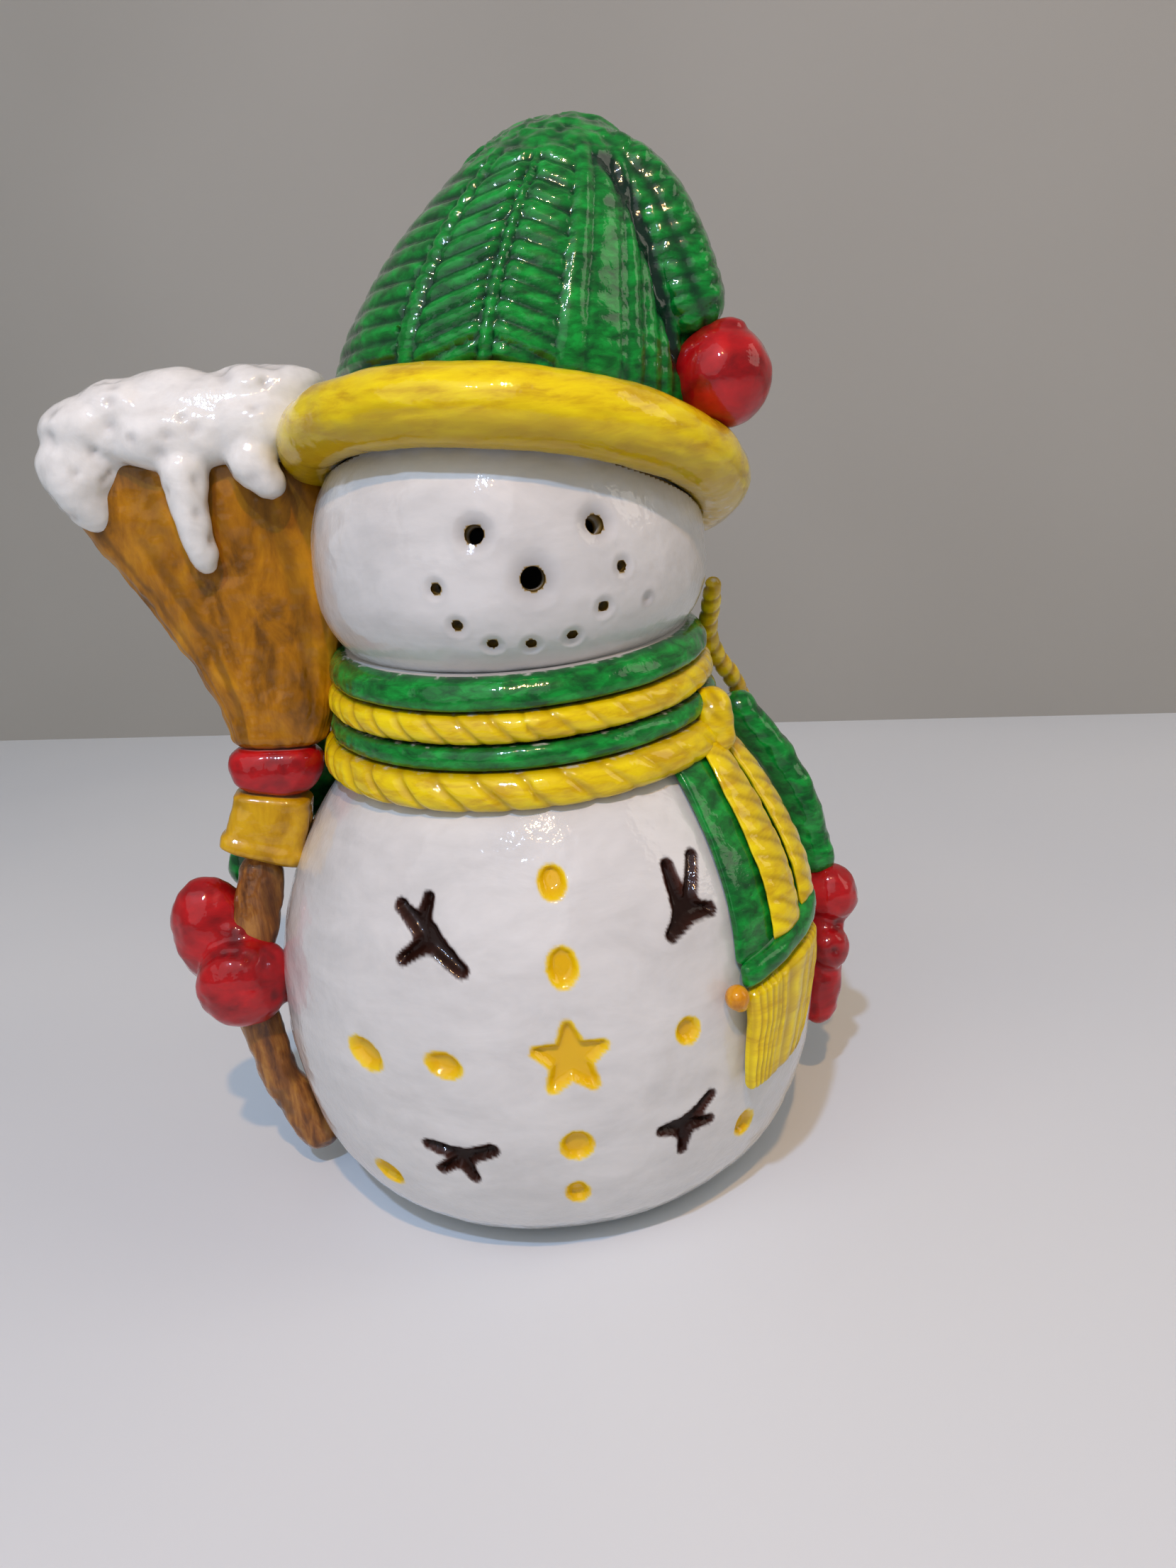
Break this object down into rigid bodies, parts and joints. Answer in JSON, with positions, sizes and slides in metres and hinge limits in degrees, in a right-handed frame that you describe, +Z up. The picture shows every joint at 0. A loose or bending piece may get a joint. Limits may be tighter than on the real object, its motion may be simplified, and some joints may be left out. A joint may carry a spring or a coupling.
{
  "type": "snowman lantern figure",
  "caption": "Hollow cast snowman lantern with a knitted hat, scarf and snow-topped broom; a battery tea light slides out through its rear opening.",
  "frame": {"origin": "centre of the flat foot, on the surface the figure stands on", "axes": "+Z up, the face looks along -Y, the broom is at -X and the scarf's tails are at +X"},
  "size_m": [0.1329, 0.0954, 0.175],
  "materials": {
    "ivory_glaze": "hand-painted off-white under clear gloss varnish",
    "green_glaze": "hand-painted green under clear gloss varnish",
    "yellow_glaze": "hand-painted yellow under clear gloss varnish",
    "red_glaze": "hand-painted red under clear gloss varnish",
    "ochre_glaze": "streaked ochre under clear gloss varnish",
    "brown_glaze": "streaked brown under clear gloss varnish",
    "snow_glaze": "pitted white under clear gloss varnish",
    "white_plastic": "satin moulded",
    "flame_plastic": "translucent frosted",
    "led_lens": "clear moulded",
    "circuit_board": "green solder resist",
    "steel": "nickel plated",
    "black_plastic": "moulded"
  },
  "bodies": {
    "figure": {"body_shell": "ivory_glaze", "head_shell": "ivory_glaze", "hat_crown": "green_glaze", "hat_brim": "yellow_glaze", "hat_pompom": "red_glaze", "scarf_yellow_hem": "yellow_glaze", "scarf_green_band": "green_glaze", "scarf_yellow_cord": "yellow_glaze", "scarf_green_roll": "green_glaze", "scarf_knot": "yellow_glaze", "tail_green_panel": "green_glaze", "tail_cord_inner": "yellow_glaze", "tail_cord_outer": "yellow_glaze", "tail_hem": "green_glaze", "tail_fringe": "yellow_glaze", "tail_knot": "ochre_glaze", "back_tail_cord": "yellow_glaze", "back_tail_panel": "green_glaze", "back_tail_fringe": "yellow_glaze", "sleeve_broom_side": "green_glaze", "sleeve_tail_side": "green_glaze", "mitten_broom_side": "red_glaze", "mitten_tail_side": "red_glaze", "broom_handle": "brown_glaze", "broom_ferrule": "ochre_glaze", "broom_binding": "red_glaze", "broom_bristles": "ochre_glaze", "broom_snow": "snow_glaze"},
    "tealight": {"tealight_case": "white_plastic", "tealight_wax_top": "white_plastic", "tealight_flame": "flame_plastic", "tealight_led": "led_lens", "tealight_board": "circuit_board", "tealight_battery": "steel", "tealight_contact_top": "steel", "tealight_contact_side": "steel"},
    "battery_door": {"tealight_battery_door": "white_plastic"},
    "switch": {"tealight_switch": "black_plastic"}
  },
  "joints": [
    {"name": "tealight_slide", "type": "slide", "parent": "figure", "child": "tealight", "axis": [0, 1, 0], "range_m": [0, 0.075]},
    {"name": "battery_door_slide", "type": "slide", "parent": "tealight", "child": "battery_door", "axis": [0, 1, 0], "range_m": [0, 0.032]},
    {"name": "switch_slide", "type": "slide", "parent": "tealight", "child": "switch", "axis": [0, 1, 0], "range_m": [0, 0.0033]}
  ]
}
